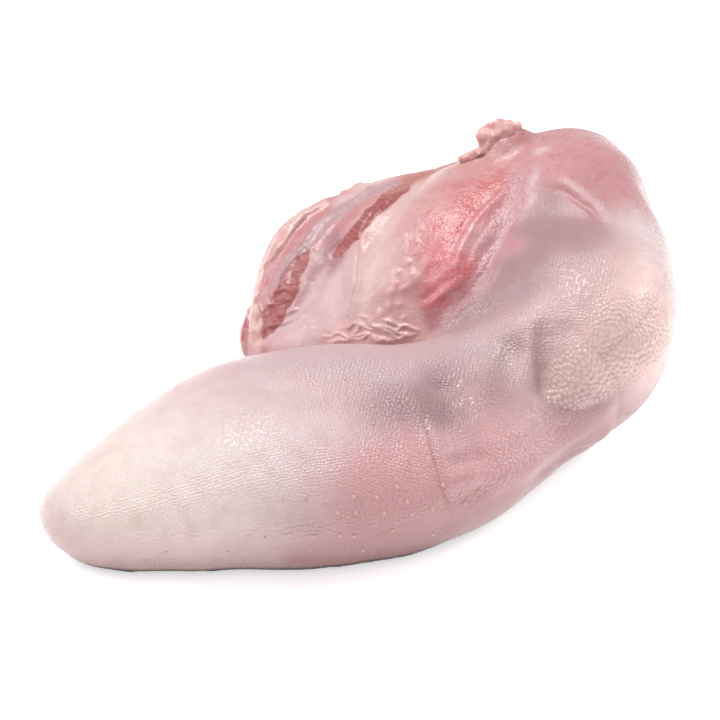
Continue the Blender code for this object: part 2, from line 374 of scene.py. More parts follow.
# ------------------------------------------------- features of the surface, by their photo pixels
# Furrows and ridges of the skin: pixels along the line, half width, height.
MEDIAN_CREASE = [(599, 358), (608, 350), (620, 340), (637, 327), (650, 311), (660, 293), (667, 273)]
FOSSA_CREASE = [(552, 319), (543, 326), (539, 345), (538, 370), (540, 392), (546, 402)]
LONG_CREASE = [(422, 416), (429, 438), (434, 458), (438, 480), (444, 497), (451, 513)]
RED_FOLD = [(541, 188), (555, 190), (568, 195), (588, 207), (603, 223)]
SKIN_LINES = [
    (LONG_CREASE, 0.8, -0.6),
    ([(429, 415), (436, 437), (441, 458), (445, 478)], 1.6, 0.4),
    ([(407, 412), (416, 436), (423, 460), (430, 484)], 2.6, -0.6),
    ([(396, 424), (405, 446), (414, 470)], 2.0, 0.3),
    ([(384, 428), (392, 448), (399, 468)], 2.4, -0.4),
    ([(443, 483), (462, 479), (484, 473)], 3.0, 1.0),
    ([(450, 500), (470, 496), (490, 486)], 3.4, -0.8),
    ([(446, 466), (466, 461), (486, 456)], 2.4, -0.6),
    ([(450, 453), (468, 448), (484, 444)], 2.4, 0.5),
    ([(499, 338), (491, 366), (480, 398)], 4.5, 1.0),
    ([(474, 345), (467, 370), (461, 392)], 4.5, -0.6),
    (FOSSA_CREASE, 1.9, -0.7),
    ([(529, 345), (529, 368), (531, 396)], 3.0, 0.6),
    ([(549, 325), (546, 350), (546, 378), (550, 396)], 3.5, -0.6),
    (MEDIAN_CREASE, 0.8, -0.15),
    (RED_FOLD, 1.4, -0.5),
    ([(509, 477), (560, 447), (598, 425)], 4.0, 1.2),
    ([(500, 463), (553, 432), (590, 414)], 4.0, -1.0),
    ([(518, 490), (560, 463), (604, 436)], 2.6, -0.8),
    ([(555, 404), (580, 410), (606, 404)], 3.0, -1.2),
    ([(470, 322), (500, 306), (530, 293), (560, 284)], 4.0, -0.6),
    ([(480, 306), (510, 290), (540, 278)], 4.0, 0.4),
    ([(545, 172), (575, 186), (602, 202), (640, 245)], 6.0, 1.2),
]
# Broad dents and swells: a pixel, a reach from it, and a height.
SOFT_DENTS = [
    (441, 384, 8, -2.0),
    (453, 412, 7, -2.2),
    (517, 346, 6, -1.8),
    (512, 392, 8, 0.8),
    (470, 428, 7, 1.0),
    (350, 380, 16, -0.9),
    (300, 460, 20, 0.8),
    (560, 225, 14, -1.5),
    (604, 432, 7, 1.6),
]
# The edge of the bare flesh, from the top of the root down to where it meets the tip arm.
FLESH_EDGE = [
    (522, 110), (530, 150), (534, 172), (530, 200), (518, 232), (503, 262), (484, 290), (462, 312),
    (442, 330), (425, 345), (400, 360),
]
FLESH_EDGE_SOFT = 13

# Furrows and folds of the bare flesh behind the tip arm.
GLAND_EDGE = [
    (430, 170), (408, 179), (390, 190), (374, 209), (363, 224), (358, 243), (357, 260), (356, 283),
    (353, 303), (348, 320),
]
FLESH_LINES = [
    (GLAND_EDGE, 0.8, -0.9),
    ([(434, 172), (393, 194), (378, 212), (367, 227), (362, 245), (361, 262), (360, 284), (357, 304)],
     1.8, 0.8),
    ([(455, 266), (463, 243), (475, 224), (488, 209), (506, 190)], 2.0, 0.9),
    ([(450, 258), (459, 236), (470, 218), (488, 198)], 1.6, -0.5),
    ([(476, 228), (484, 216)], 0.8, -0.5),
    ([(464, 266), (474, 243), (490, 221), (510, 202)], 2.2, -0.4),
    ([(432, 318), (457, 299), (482, 270), (506, 222), (520, 178)], 5.0, -0.4),
    ([(446, 320), (472, 300), (496, 268), (516, 232)], 3.0, 0.5),
    ([(410, 286), (428, 266), (444, 250)], 2.0, 0.5),
    ([(418, 302), (436, 288), (452, 274)], 2.0, -0.5),
    ([(428, 306), (444, 294), (462, 279)], 1.5, 0.5),
    ([(470, 285), (484, 266), (496, 246)], 1.2, 0.5),
    ([(400, 225), (420, 205), (440, 190)], 5.0, 0.6),
    ([(335, 205), (318, 224), (303, 246), (290, 262), (281, 277), (277, 298)], 0.9, 0.9),
    ([(340, 210), (322, 230), (307, 251)], 1.2, -0.5),
    ([(316, 222), (302, 238), (287, 256), (280, 270)], 0.8, 0.5),
    ([(305, 245), (320, 250), (341, 255)], 0.8, 0.6),
    ([(322, 262), (318, 285), (304, 308), (290, 330)], 3.0, 0.6),
    ([(262, 305), (275, 303), (291, 299)], 0.6, 0.6),
    ([(262, 317), (280, 315), (300, 309)], 0.6, 0.7),
    ([(263, 327), (290, 322), (318, 309)], 0.8, 0.7),
]
NODULES = [
    (393, 291), (391, 306), (383, 313), (371, 322), (400, 304), (405, 288), (399, 272), (410, 262),
    (428, 256), (437, 263), (405, 318), (388, 322), (416, 243), (402, 236), (381, 238), (378, 250),
    (420, 228), (397, 283), (412, 274),
]
NODULE_RADIUS = 1.6
NODULE_HEIGHT = 0.55
FRILL = [
    [(322, 338), (336, 334), (350, 337), (362, 333), (374, 337)],
    [(360, 317), (368, 319), (379, 329), (390, 333), (402, 338)],
    [(383, 319), (395, 323), (407, 326), (420, 332)],
    [(378, 338), (390, 341), (403, 336), (417, 335)],
    [(343, 329), (354, 323), (364, 328)],
    [(352, 334), (362, 326), (372, 330)],
    [(396, 330), (404, 325), (412, 331)],
    [(355, 340), (368, 337), (380, 342), (392, 338)],
    [(372, 324), (384, 327), (396, 331), (410, 335)],
    [(330, 341), (345, 341), (358, 338)],
]
FRILL_HALF_WIDTH = 0.75
FRILL_HEIGHT = 0.85

# Strips of other tissue: pixels along the middle, half width, height.
STRIPS = {
    "muscle": [
        ([(430, 173), (412, 178), (397, 188), (380, 204), (363, 222), (349, 238), (338, 251)], 4.8, -0.7),
        ([(303, 246), (300, 260), (295, 276)], 4.0, -0.6),
        ([(293, 278), (285, 294), (277, 306)], 5.6, -0.5),
        ([(281, 302), (272, 316), (264, 330)], 5.6, -0.5),
    ],
    "silver": [
        ([(398, 182), (370, 192), (344, 210), (322, 229)], 4.4, 0.3),
        ([(342, 208), (322, 227), (305, 246)], 5.4, 0.4),
        ([(303, 244), (288, 260), (278, 276), (272, 292)], 2.6, 0.4),
    ],
    "membrane": [
        ([(347, 210), (323, 222), (311, 242), (295, 256), (287, 282)], 0.8, 0.15),
    ],
    "fat": [
        ([(325, 201), (304, 213), (286, 231), (271, 253), (260, 275), (256, 295), (254, 315), (255, 334),
          (260, 348)], 3.8, 0.5),
        ([(344, 190), (356, 187), (370, 186)], 2.4, 0.8),
    ],
    "corner": [
        ([(247, 318), (241, 330), (240, 346)], 5.0, 2.0),
    ],
}

# Where each colour of the skin and of the bare flesh lies: a pixel, and a reach from it.
SKIN_SPOTS = {
    "cream": [(80, 490, 20), (120, 465, 24), (150, 480, 24), (110, 510, 18), (190, 460, 18), (240, 450, 14),
        (160, 430, 16), (200, 520, 14)],
    "pale": [(200, 430, 22), (250, 480, 22), (270, 440, 18), (220, 500, 20), (310, 430, 14), (680, 320, 10),
        (665, 270, 12), (640, 225, 10)],
    "flush": [(358, 512, 12), (385, 500, 18), (410, 525, 16), (362, 538, 13), (395, 455, 15),
        (360, 462, 10), (480, 500, 12), (520, 470, 14), (560, 445, 13), (430, 480, 10), (600, 420, 12),
        (470, 455, 9), (500, 440, 10), (480, 395, 8), (450, 520, 12), (518, 245, 4)],
    # the swelling's pale tone, painted lighter at its top as light falling on it
    "lit_warty_top": [(612, 328, 10), (650, 300, 14), (636, 320, 10), (660, 325, 9), (603, 360, 8),
        (645, 350, 8)],
    "upper_rose": [(180, 408, 12), (230, 398, 14), (280, 402, 14), (330, 402, 12), (250, 430, 10),
        (300, 432, 10), (360, 432, 10), (210, 425, 8)],
    "low_light": [(100, 530, 12), (150, 525, 14), (190, 510, 12), (230, 510, 13), (180, 535, 12)],
    # deeper red along the bottom of the flank: the flush, painted darker as shade where little light
    # reaches from the floor
    "low_flush_shade": [(345, 554, 9), (375, 553, 9), (405, 550, 9), (430, 540, 7), (310, 558, 7), (355, 535, 8),
        (385, 535, 8), (410, 532, 8), (330, 542, 7), (570, 452, 6), (455, 525, 7), (485, 505, 7),
        (515, 488, 7), (550, 468, 6)],
    # darker mauve in the soft dents: partly the skin's own tone, partly painted shade
    "dusk_dent_shade": [(600, 412, 6), (452, 408, 8), (425, 408, 7), (395, 412, 8), (362, 415, 8), (482, 386, 7)],
    "mid_rose": [(572, 300, 9), (568, 330, 7), (598, 283, 8)],
    "low_right": [(622, 410, 7), (598, 426, 6)],
    "mid_pink": [(318, 462, 9), (324, 435, 9), (322, 500, 8), (328, 535, 8), (300, 490, 8), (330, 410, 9),
        (290, 420, 8)],
    "ridge": [(492, 368, 6), (502, 348, 5), (482, 390, 5)],
    "red_patch": [(508, 247, 3), (519, 243, 2.5)],
    "beige": [(262, 532, 10), (290, 535, 11), (312, 525, 8), (235, 540, 8), (300, 548, 8)],
    # painted highlight: pale spots along the edge of the bare flesh, where a soft lamp's reflection lies on
    # the wet skin
    "painted_sheen": [(541, 152, 3), (531, 175, 3), (522, 195, 3), (511, 213, 3)],
    # mauve in the soft dents of the flank: partly the skin's own tone, partly painted shade
    "mauve_dent_shade": [(441, 384, 9), (455, 411, 9), (430, 400, 8), (517, 346, 4), (340, 395, 8), (484, 396, 7),
        (380, 400, 10), (440, 535, 7), (580, 408, 9), (610, 400, 7)],
    # painted shade on the fossa's wall, beside its crease
    "fossa_shade": [(546, 330, 3.5), (545, 345, 3), (542, 362, 2.2), (541, 378, 2)],
    "grey": [(270, 365, 14), (320, 360, 14), (370, 358, 14), (420, 352, 12), (400, 375, 10), (240, 385, 10),
        (470, 345, 9), (350, 375, 10)],
    # grey-mauve in the smooth hollows of the root and along the valley: partly the skin's own tone, partly
    # painted shade
    "hollow_shade": [(560, 215, 16), (590, 235, 14), (540, 240, 14), (525, 265, 12), (490, 300, 10),
        (580, 260, 12), (460, 325, 8), (550, 205, 10), (520, 275, 8)],
    "rosy": [(545, 172, 6), (600, 170, 18), (560, 150, 16), (525, 155, 12), (625, 195, 12), (575, 180, 12),
        (635, 160, 12), (600, 140, 16), (560, 135, 12)],
    "warty": [(610, 330, 18), (575, 375, 12), (640, 350, 16), (655, 300, 16), (600, 300, 14),
        (645, 260, 12), (650, 385, 12), (668, 340, 10), (620, 280, 14)],
    "bottom": [(150, 560, 8), (200, 562, 8), (110, 552, 8)],
    "lilac": [(60, 530, 10), (85, 548, 9), (50, 510, 7), (300, 400, 8)],
}
FLESH_SPOTS = {
    "gland_cream": [(385, 235, 8), (372, 262, 8), (395, 215, 8), (368, 290, 7), (410, 195, 8),
        (365, 308, 6), (385, 270, 6), (430, 180, 8)],
    "gland_pink": [(430, 205, 8), (445, 190, 9), (415, 235, 7), (400, 260, 6), (385, 295, 6), (460, 175, 8),
        (350, 330, 6), (475, 166, 7), (496, 158, 6)],
    "film": [(365, 188, 5), (345, 200, 4), (385, 177, 4)],
    "film_shade": [(330, 258, 5), (335, 240, 4)],
    "red": [(440, 300, 6), (440, 257, 5), (447, 283, 6), (456, 270, 6), (422, 246, 4), (447, 238, 6),
        (436, 222, 5), (466, 262, 4), (462, 215, 5)],
    "salmon": [(487, 186, 8), (480, 202, 7), (455, 190, 6), (455, 225, 5), (470, 205, 6)],
    "fold_pink": [(465, 245, 4), (478, 223, 4), (490, 208, 5)],
    "band": [(440, 317, 5), (460, 303, 6), (485, 278, 7), (500, 250, 8), (512, 220, 8), (522, 185, 7),
        (450, 322, 5)],
    "fascia": [(335, 285, 9), (320, 310, 9), (345, 305, 7), (325, 262, 8), (300, 330, 8), (345, 270, 6),
        (285, 335, 6)],
    "frill_pink": [(340, 335, 4), (360, 330, 5), (380, 330, 5), (400, 332, 5), (418, 332, 4), (366, 318, 3),
        (390, 318, 4), (408, 312, 4)],
    "brown": [(428, 174, 5), (412, 178, 5), (397, 188, 4)],
}
# Where the large papillae lie: a pixel, a reach from it, and their strength.
WARTS = [
    (575, 378, 11, 1.0), (588, 362, 9, 1.0), (592, 388, 10, 1.0), (610, 375, 10, 1.0), (624, 360, 9, 0.95),
    (642, 352, 9, 0.9), (634, 376, 9, 0.8), (655, 335, 9, 0.7), (608, 338, 9, 0.7), (628, 322, 9, 0.6),
    (664, 318, 9, 0.6), (600, 315, 9, 0.6), (668, 292, 9, 0.5), (645, 296, 10, 0.5), (618, 296, 10, 0.5),
    (664, 265, 9, 0.5), (645, 268, 10, 0.45), (572, 396, 8, 0.9), (558, 372, 6, 0.8), (560, 392, 6, 0.8),
    (655, 240, 9, 0.4), (668, 342, 7, 0.7), (655, 360, 7, 0.7),
]
WART_LEAN = [(630, 348), (640, 374)]       # the way in which the large papillae are drawn out
# Where the skin is smooth: a pixel, and a reach from it.
SMOOTH_SPOTS = [
    (560, 210, 20), (590, 235, 12), (530, 240, 16), (510, 270, 12), (575, 165, 18), (530, 165, 16),
    (610, 175, 12),
]


def cast_all(groups):
    """Casts every pixel of a list of lists at once, and gives back the same lists as points."""
    points = cast([pixel for group in groups for pixel in group])
    ends = np.cumsum([len(group) for group in groups])
    return np.split(points, ends[:-1])


def cast_lines(rows):
    """Casts the lines that rows of a line, half width and height start with."""
    return cast_all([line for line, _, _ in rows])


def cast_spots(colours):
    """The places and reaches of each colour's spots."""
    places = cast_all([[spot[:2] for spot in spots] for spots in colours.values()])
    return {name: list(zip(place, (reach for _, _, reach in spots)))
            for (name, spots), place in zip(colours.items(), places)}


SKIN_PLACES = cast_lines(SKIN_LINES)
FLESH_PLACES = cast_lines(FLESH_LINES)
FRILL_PLACES = cast_all(FRILL)
MEDIAN_PLACES, LONG_PLACES, RED_PLACES = cast_all([MEDIAN_CREASE, LONG_CREASE, RED_FOLD])
DENT_PLACES = cast_rows(SOFT_DENTS)
NODULE_PLACES = cast(NODULES)
WART_PLACES = cast_rows(WARTS)
SMOOTH_PLACES = cast_rows(SMOOTH_SPOTS)
STRIP_PLACES = {name: cast_lines(strips) for name, strips in STRIPS.items()}
SKIN_COLOUR_PLACES = cast_spots(SKIN_SPOTS)
FLESH_COLOUR_PLACES = cast_spots(FLESH_SPOTS)


def closeness(points, place, reach):
    """How close each point is to a place, from 0 to 1."""
    return np.exp(-((points - place) ** 2).sum(1) / reach**2)


def colour_shares(points, colours, rest=0.3):
    """How much of each colour is mixed over the others, for a nearly even blend of them all."""
    total = np.full(len(points), rest)
    shares = {}
    for name, spots in colours.items():
        weight = sum(closeness(points, place, reach) for place, reach in spots)
        total = total + weight
        shares[name] = weight / total
    return shares


def strip_mask(points, name, soft=0.8):
    """Which points lie in a strip of other tissue, with an edge this soft."""
    inside = np.zeros(len(points))
    for place, (_, half_width, _) in zip(STRIP_PLACES[name], STRIPS[name]):
        apart, run = line_distance(points, place)
        taper = 1 - 0.45 * np.abs(2 * run - 1) ** 3
        inside = np.maximum(inside, np.clip((half_width * taper - apart) / soft + 0.5, 0, 1))
    return inside


LATTICE = np.random.default_rng(SEED).random((32, 32, 32))


def cloud(points, size, octaves=1):
    """Smooth random waves of about this size, from -1 to 1."""
    total = np.zeros(len(points))
    weight = 1.0
    for octave in range(octaves):
        scaled = points / (size / 2**octave) + 13.7 * octave
        low = np.floor(scaled).astype(int)
        t = scaled - low
        t = t * t * (3 - 2 * t)
        value = np.zeros(len(points))
        for corner in range(8):
            step = np.array([corner >> k & 1 for k in range(3)])
            share = np.where(step, t, 1 - t).prod(1)
            x, y, z = ((low + step) % 32).T
            value += share * LATTICE[x, y, z]
        total += weight * (value * 2 - 1)
        weight *= 0.5
    return total


def warped(points, size, reach):
    """The points moved about by smooth waves, so that what is looked up there is uneven."""
    return points + reach * np.stack([cloud(points + shift, size) for shift in (0, 40, 80)], 1)


# --------------------------------------------------------------------------------- the fine skin
BAND = 4.0                 # cells on each side of the surface that are worked out exactly
COARSE = 3                 # how many cells one rough value stands for, along each side
FAR = 9                    # distances are cut off here


def field_mesh(name, function, low, high, cell):
    """The zero surface of a distance function, meshed in cells of this size."""
    low = np.array(low, float)
    coarse = np.ceil((np.array(high) - low) / (COARSE * cell)).astype(int) + 1
    nodes = np.stack(np.meshgrid(*[np.arange(n) for n in coarse], indexing="ij"), -1)
    field = in_chunks(function, low + COARSE * cell * nodes.reshape(-1, 3)).reshape(coarse)
    for axis in range(3):
        field = field.repeat(COARSE, axis)
    field = field[1:-1, 1:-1, 1:-1]
    near = np.argwhere(np.abs(field) < (BAND + 1) * cell)
    field = np.clip(field, -FAR, FAR)
    field[tuple(near.T)] = in_chunks(function, low + cell * near)
    volume = openvdb.FloatGrid(FAR + 1.0)
    volume.copyFromArray(field.astype(np.float32))
    vertices, triangles, quads = volume.convertToPolygons(0.0, 0.0)
    faces = triangles.tolist() + quads.tolist()
    mesh = bpy.data.meshes.new(name)
    mesh.from_pydata((vertices * cell + low).tolist(), [], faces)
    return mesh


def fetch(items, name):
    """One vector of each item of a mesh, such as the place of each vertex."""
    flat = np.empty(len(items) * 3, np.float32)
    items.foreach_get(name, flat)
    return flat.reshape(-1, 3).astype(float)


def coordinates(mesh):
    return fetch(mesh.vertices, "co")


def vertex_normals(mesh):
    return fetch(mesh.vertex_normals, "vector")


def put(mesh, points):
    """Moves the mesh's vertices to these points."""
    mesh.vertices.foreach_set("co", points.astype(np.float32).ravel())
    mesh.update()


def refine(mesh, least_facing, zone):
    """Halves the edges of the faces of a zone that the camera sees, and settles the new points."""
    centres = fetch(mesh.polygons, "center")
    wanted = (facing(centres, fetch(mesh.polygons, "normal")) > least_facing) & zone(centres)
    solid = bmesh.new()
    solid.from_mesh(mesh)
    solid.faces.ensure_lookup_table()
    edges = {edge for index in np.flatnonzero(wanted) for edge in solid.faces[index].edges}
    bmesh.ops.subdivide_edges(solid, edges=list(edges), cuts=1, use_grid_fill=True)
    solid.to_mesh(mesh)
    solid.free()
    put(mesh, settle(coordinates(mesh), vertex_normals(mesh)))


def facing(points, normals):
    """How squarely the surface faces the camera, from -1 to 1."""
    toward = EYE - points
    toward /= np.linalg.norm(toward, axis=1)[:, None]
    return (toward * normals).sum(1)


# Where the mesh is finer, along the bare flesh, its frill and the sharp creases of the skin.
FLESH_ZONE = cast([(395, 250), (300, 275), (470, 225), (330, 300), (440, 290), (350, 215)])
FLESH_ZONE_REACH = 27
FINEST_ZONE = cast([(345, 333), (370, 328), (395, 331), (415, 330), (385, 312), (398, 292)])
FINEST_REACH = 7.5
SHARP_WIDTH = 1.5
SHARP_REACH = 2.6
SEAM = (52, 20, 73)        # limbs join sharply here, beside the red groove, but the photo's skin is soft
SEAM_REACH = 13
SEEN = -0.12               # faces turned further from the camera than this stay coarse
WELL_SEEN = -0.05


def near_flesh(points, places, reach):
    """Which points behind the tip arm lie near any of these places."""
    near = np.any([((points - place) ** 2).sum(1) < reach**2 for place in places], axis=0)
    return near & (LIMBS["tip"].distance(points) > 0.5)


def near_sharp_lines(points):
    """Along the narrowest creases of the skin."""
    close = np.zeros(len(points), bool)
    for place, (_, half_width, _) in zip(SKIN_PLACES, SKIN_LINES):
        if half_width < SHARP_WIDTH:
            close |= line_distance(points, place)[0] < SHARP_REACH
    return close


def even_out(mesh, place, reach, rounds=40):
    """Smooths the mesh about a place."""
    solid = bmesh.new()
    solid.from_mesh(mesh)
    near = ((coordinates(mesh) - place) ** 2).sum(1) < reach**2
    solid.verts.ensure_lookup_table()
    chosen = [solid.verts[index] for index in np.flatnonzero(near)]
    for _ in range(rounds):
        bmesh.ops.smooth_vert(solid, verts=chosen, factor=0.5, use_axis_x=True, use_axis_y=True,
                              use_axis_z=True)
    solid.to_mesh(mesh)
    solid.free()


def detailed(points):
    """Where a finer mesh is needed: the warty swelling and the flesh behind the tip arm."""
    flesh = near_flesh(points, FLESH_ZONE, FLESH_ZONE_REACH)
    return (wart_strength(points) > 0.4) | flesh | near_sharp_lines(points)


def finest(points):
    """Where the finest mesh is needed: the largest papillae and the frill."""
    return near_flesh(points, FINEST_ZONE, FINEST_REACH) | (wart_strength(points) > 0.58)


WART_SPACING = 1.6
WART_RADIUS = 0.72
WART_HEIGHT = 0.75
WART_SHOWS = (0.52, 0.72)  # how strong the swelling is where they begin, and where they are in full
LEAST_WART = 0.12
WART_STRETCH = 0.8         # how far distances along the lean count, so that papillae are long there
MOST_TRIED = 60000         # how many points are tried as places for papillae


def wart_strength(points):
    """How strongly large papillae cover the skin, from 0 to 1."""
    bare = np.ones(len(points))
    for place, (_, _, reach, strength) in zip(WART_PLACES, WARTS):
        bare *= 1 - strength * closeness(points, place, reach)
    return 1 - bare


def wart_space(points):
    """The points drawn together along the lean, so that even seats there are far apart."""
    start, end = cast(WART_LEAN)
    lean = (end - start) / np.linalg.norm(end - start)
    return points - (1 - WART_STRETCH) * (points @ lean)[:, None] * lean


def wart_seats(places, strength):
    """Points for the papillae of the swelling, further apart where they are larger."""
    order = np.random.default_rng(SEED).permutation(np.flatnonzero(strength > LEAST_WART))[:MOST_TRIED]
    taken = {}
    chosen = []
    for index in order:
        place = places[index]
        x, y, z = (place // WART_SPACING).astype(int)
        near = [other for dx in (-1, 0, 1) for dy in (-1, 0, 1) for dz in (-1, 0, 1)
                for other in taken.get((x + dx, y + dy, z + dz), ())]
        gap = WART_SPACING * (0.6 + 0.4 * strength[index])
        if all(((places[other] - place) ** 2).sum() > gap**2 for other in near):
            taken.setdefault((x, y, z), []).append(index)
            chosen.append(index)
    return np.array(chosen)


def wart_relief(points):
    """Rounded papillae over the swelling, largest where it is strongest, from 0 to 1."""
    strength = wart_strength(points)
    places = wart_space(points)
    chosen = wart_seats(places, strength)
    tree = KDTree(len(chosen))
    for number, index in enumerate(chosen):
        tree.insert(Vector(places[index]), number)
    tree.balance()
    vary = np.random.default_rng(SEED + 1).uniform(0.7, 1.15, len(chosen))
    height = np.zeros(len(points))
    for index in np.flatnonzero(strength > 0.1):
        _, number, apart = tree.find(Vector(places[index]))
        full = strength[chosen[number]]
        reach = WART_RADIUS * (0.6 + 0.45 * full)
        height[index] = full * vary[number] * math.exp(-((apart / reach) ** 2.4))
    return height


def add_lines(height, points, places, lines):
    """Adds the furrows and ridges along the lines to a height."""
    for place, (_, half_width, rise) in zip(places, lines):
        height += line_relief(points, place, half_width, rise)


FLOOR_FADE = 5             # the relief fades out below this height above the floor


def fine_relief(points, masks):
    """Height added to the smooth form by creases, folds, dents, lumps and papillae."""
    height = 0.35 * cloud(points, 22, 2) + 0.1 * cloud(points, 7)
    uneven = warped(points, 9, 0.9)
    add_lines(height, uneven, SKIN_PLACES, SKIN_LINES)
    flesh_height = np.zeros(len(points))
    add_lines(flesh_height, uneven, FLESH_PLACES, FLESH_LINES)
    height += flesh_height * np.clip(masks["flesh"] * 2, 0, 1)
    for place, (_, _, reach, rise) in zip(DENT_PLACES, SOFT_DENTS):
        height += rise * closeness(points, place, reach)
    for place in NODULE_PLACES:
        height += NODULE_HEIGHT * closeness(uneven, place, NODULE_RADIUS)
    writhing = warped(points, 4, 1.0)
    for place in FRILL_PLACES:
        height += line_relief(writhing, place, FRILL_HALF_WIDTH, FRILL_HEIGHT)
    for name, strips in STRIPS.items():
        for place, (_, half_width, rise) in zip(STRIP_PLACES[name], strips):
            apart, _ = line_distance(points, place)
            height += rise * np.clip((half_width - apart) / 1.2 + 0.5, 0, 1)
    height += masks["fat"] * (0.7 * cloud(points, 5) + 0.4)
    height += masks["flesh"] * (0.25 * cloud(points, 10, 2) + 0.08 * cloud(points, 3))
    height += masks["cut"] * 0.8 * cloud(points, 6, 2)
    height += WART_HEIGHT * masks["warts"] * masks["wart_zone"]
    return height * np.clip(points[:, 2] / FLOOR_FADE, 0, 1)


# The fine papillae lie in even patterns on four planes, named by the sides that they face.
PATTERN_SIDES = {
    "front_top": (0, -0.5, 0.866),
    "right": (0.8, -0.3, 0.52),
    "left": (-0.85, -0.2, 0.49),
    "back_top": (0, 0.86, 0.51),
}
PATTERN_SHARPNESS = 16


def smooth_step(values, low, high):
    """A soft step from 0 at the low value to 1 at the high one."""
    t = np.clip((values - low) / (high - low), 0, 1)
    return t * t * (3 - 2 * t)


def pixels_of(points):
    """Where the photo shows each point."""
    offset = points - EYE
    depth = (offset @ FORWARD)[:, None]
    return PHOTO_SIDE / 2 + FOCAL_PX * np.stack([offset @ RIGHTWARD, -(offset @ UPWARD)], 1) / depth


def flesh_side(points):
    """Which points lie to the left of the edge of the bare flesh."""
    pixels = pixels_of(warped(points, 9, 1.6))
    columns, rows = np.array(FLESH_EDGE, float).T
    edge = np.interp(pixels[:, 1], rows, columns)
    return smooth_step(edge - pixels[:, 0], -FLESH_EDGE_SOFT, FLESH_EDGE_SOFT)


def facing_shares(normals):
    """How much of each pattern of papillae shows, by the way the skin faces."""
    squareness = np.abs(normals @ np.array(list(PATTERN_SIDES.values())).T)
    weights = np.exp(PATTERN_SHARPNESS * squareness)
    return dict(zip(PATTERN_SIDES, (weights / weights.sum(1)[:, None]).T))


def fibre_run(points):
    """How far along the nearest muscle strip each point lies."""
    strips = STRIP_PLACES["muscle"]
    runs = [line_distance(points, place) for place in strips]
    nearest = np.argmin([apart for apart, _ in runs], axis=0)
    lengths = [np.linalg.norm(np.diff(place, axis=0), axis=1).sum() for place in strips]
    return np.choose(nearest, [run * length for (_, run), length in zip(runs, lengths)])


def surface_masks(points, normals):
    """Which tissue and colour lies where, each from 0 to 1."""
    uneven = warped(points, 12, 3)
    masks = facing_shares(normals)
    masks.update(colour_shares(uneven, SKIN_COLOUR_PLACES))
    masks.update(colour_shares(warped(points, 6, 1.2), FLESH_COLOUR_PLACES, 0.15))
    distances = {name: in_chunks(limb.distance, points) for name, limb in LIMBS.items()}
    side = np.minimum(np.minimum(distances["muscle"], distances["gland"]), distances["flap"])
    masks["cut"] = smooth_step(normals[:, 1], 0.55, 0.85) * smooth_step(points[:, 1], 88, 98)
    masks["flesh"] = flesh_side(points) * smooth_step(distances["tip"] - side, -2.5, 0.5)
    masks["smooth"] = np.clip(sum(closeness(points, place, reach) for place, (_, _, reach) in
                                  zip(SMOOTH_PLACES, SMOOTH_SPOTS)), 0, 1)
    ragged_edge = warped(points, 3, 0.9)
    for name in STRIPS:
        masks[name] = strip_mask(ragged_edge, name)
    masks["wart_zone"] = wart_strength(points)
    masks["warts"] = wart_relief(points) * smooth_step(masks["wart_zone"], *WART_SHOWS)
    # darker beige along the median and long creases: partly their own tone, partly painted shade in them
    crease_shade = np.zeros(len(points))
    for places, strength in ((MEDIAN_PLACES, 0.5), (LONG_PLACES, 1)):
        apart, _ = line_distance(points, places)
        crease_shade = np.maximum(crease_shade, strength * np.exp(-((apart / 0.9) ** 2)))
    masks["crease_shade"] = crease_shade
    fold, _ = line_distance(uneven, RED_PLACES)
    masks["red_fold"] = np.exp(-((fold / 2.2) ** 2))
    masks["nodules"] = np.max([closeness(uneven, place, 1.3 * NODULE_RADIUS)
                               for place in NODULE_PLACES], axis=0)
    masks["wet"] = np.clip(sum(masks[name] for name in ("red", "salmon", "band", "frill_pink")), 0, 1)
    # painted shade: darker mauve on faces turned down towards the floor, partly the underside's own tone
    masks["under"] = smooth_step(-normals[:, 2], -0.5, 0.5) * smooth_step(-points[:, 2], -45, -25)
    masks["fibre_run"] = fibre_run(points)
    return masks


FOOT_SPREAD = 7            # how far the foot of the tip arm is spread at the floor
FOOT_TOP = 9               # how high above the floor the spread ends


def spread_foot(points, normals):
    """Moves the foot of the tip arm outwards, where its own weight flattens it on the floor."""
    level = normals * (1, 1, 0)
    length = np.linalg.norm(level, axis=1)
    push = FOOT_SPREAD * np.clip(1 - points[:, 2] / FOOT_TOP, 0, 1) ** 3
    push *= smooth_step(length, 0.15, 0.5) * smooth_step(-points[:, 0], -40, -15)
    return points + level * (push / np.maximum(length, 0.01))[:, None]


def fine_skin():
    """The finest mesh of the skin, with its masks."""
    mesh = field_mesh("skin", body, BOX_LOW, BOX_HIGH, CELL)
    put(mesh, settle(coordinates(mesh), vertex_normals(mesh), 1))
    refine(mesh, SEEN, lambda points: True)
    refine(mesh, WELL_SEEN, detailed)
    refine(mesh, WELL_SEEN, finest)
    even_out(mesh, SEAM, SEAM_REACH)
    points = coordinates(mesh)
    normals = vertex_normals(mesh)
    masks = surface_masks(points, normals)
    points = spread_foot(points + normals * fine_relief(points, masks)[:, None], normals)
    points[:, 2] = np.maximum(points[:, 2], 0)
    put(mesh, (points + CENTRE_SHIFT) * MM)
    for name, values in masks.items():
        layer = mesh.attributes.new(name, "FLOAT", "POINT")
        layer.data.foreach_set("value", values.astype(np.float32))
    mesh.shade_smooth()
    return mesh


# ------------------------------------------------------------------------------------- materials
def colour(red, green, blue):
    """A colour as the photo shows it, 255 being the white of the floor, as linear light."""
    parts = []
    for value in (red, green, blue):
        value /= 255
        parts.append(value / 12.92 if value <= 0.04045 else ((value + 0.055) / 1.055) ** 2.4)
    return (*parts, 1)


TISSUE_SHARE = 0.67        # how much of its colour the tissue keeps under lamps set for the floor
BLACK = (0, 0, 0, 1)


